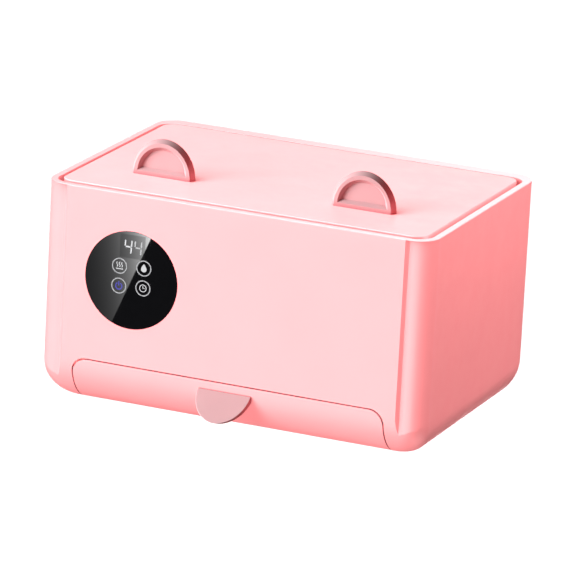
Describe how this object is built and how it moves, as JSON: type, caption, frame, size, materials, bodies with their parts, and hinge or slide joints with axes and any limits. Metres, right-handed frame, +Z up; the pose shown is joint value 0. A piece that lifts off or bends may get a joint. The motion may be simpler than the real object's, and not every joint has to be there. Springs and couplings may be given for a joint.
{
  "type": "wet wipe warmer",
  "caption": "Box-shaped wet wipe warmer with a lift-off lid, two half-round ear handles, a curved outlet door with a pull tab and a round touch display.",
  "frame": {"origin": "on the table, under the middle of the box round the whole object, its door tab included", "axes": "+Z up, -Y towards the front with the door and the display, +X to the right of someone who faces the front"},
  "size_m": [0.24, 0.185, 0.1584],
  "materials": {
    "pink_abs": "soft gloss",
    "pale_pink_abs": "soft gloss",
    "rose_abs": "satin",
    "black_acrylic": "polished",
    "black_plastic": "matte",
    "black_magnet": "sintered ferrite",
    "black_lead": "matte",
    "red_lead": "matte",
    "white_lead": "matte",
    "white_polypropylene": "fine satin",
    "grey_silicone": "matte",
    "white_foam": "closed-cell foam",
    "amber_film": "polyimide film",
    "aluminium_plate": "mill",
    "steel": "plated",
    "green_board": "solder resist",
    "red_sleeve": "glass sleeve"
  },
  "bodies": {
    "case": {"outer_case": "pink_abs", "base_plate": "pink_abs", "control_lens": "black_acrylic", "display_module": "black_plastic", "thermistor": "black_plastic", "door_magnet": "black_magnet", "dc_jack": "black_plastic", "power_lead": "black_lead", "inner_tank": "white_polypropylene", "outlet_chute": "white_polypropylene", "outlet_lip": "grey_silicone", "insulation_wrap": "white_foam", "bottom_pad": "white_foam", "heater_film": "amber_film", "heat_spreader": "aluminium_plate", "jack_nut": "steel", "hinge_pin_left": "steel", "hinge_pin_right": "steel", "control_board": "green_board", "thermal_fuse": "red_sleeve", "heater_lead": "red_lead", "sensor_lead": "white_lead", "foot_front_left": "grey_silicone", "base_screw_front_left": "steel", "foot_front_right": "grey_silicone", "base_screw_front_right": "steel", "foot_back_left": "grey_silicone", "base_screw_back_left": "steel", "foot_back_right": "grey_silicone", "base_screw_back_right": "steel", "board_screw_lower_left": "steel", "touch_pillar_lower_left": "white_foam", "board_screw_lower_right": "steel", "touch_pillar_lower_right": "white_foam", "board_screw_upper_left": "steel", "touch_pillar_upper_left": "white_foam", "board_screw_upper_right": "steel", "touch_pillar_upper_right": "white_foam"},
    "door": {"outlet_door": "pink_abs", "door_tab": "rose_abs", "door_strike": "steel"},
    "lid": {"lid_cover": "pale_pink_abs", "lid_foam": "white_foam", "lid_liner": "white_polypropylene", "lid_seal": "grey_silicone", "ear_left": "rose_abs", "ear_right": "rose_abs", "ear_screw_left_inner": "steel", "ear_screw_left_outer": "steel", "ear_screw_right_inner": "steel", "ear_screw_right_outer": "steel"},
    "press": {"press_plate": "white_polypropylene", "press_weight": "steel", "press_knob": "rose_abs"}
  },
  "joints": [
    {"name": "door_hinge", "type": "hinge", "parent": "case", "child": "door", "pos_m": [0, -0.07543, 0.02665], "axis": [-1, 0, 0], "range_deg": [0, 80]},
    {"name": "lid_lift", "type": "slide", "parent": "case", "child": "lid", "axis": [0, 0, 1], "range_m": [0, 0.12]},
    {"name": "press_lift", "type": "slide", "parent": "case", "child": "press", "axis": [0, 0, 1], "range_m": [0, 0.085]}
  ]
}
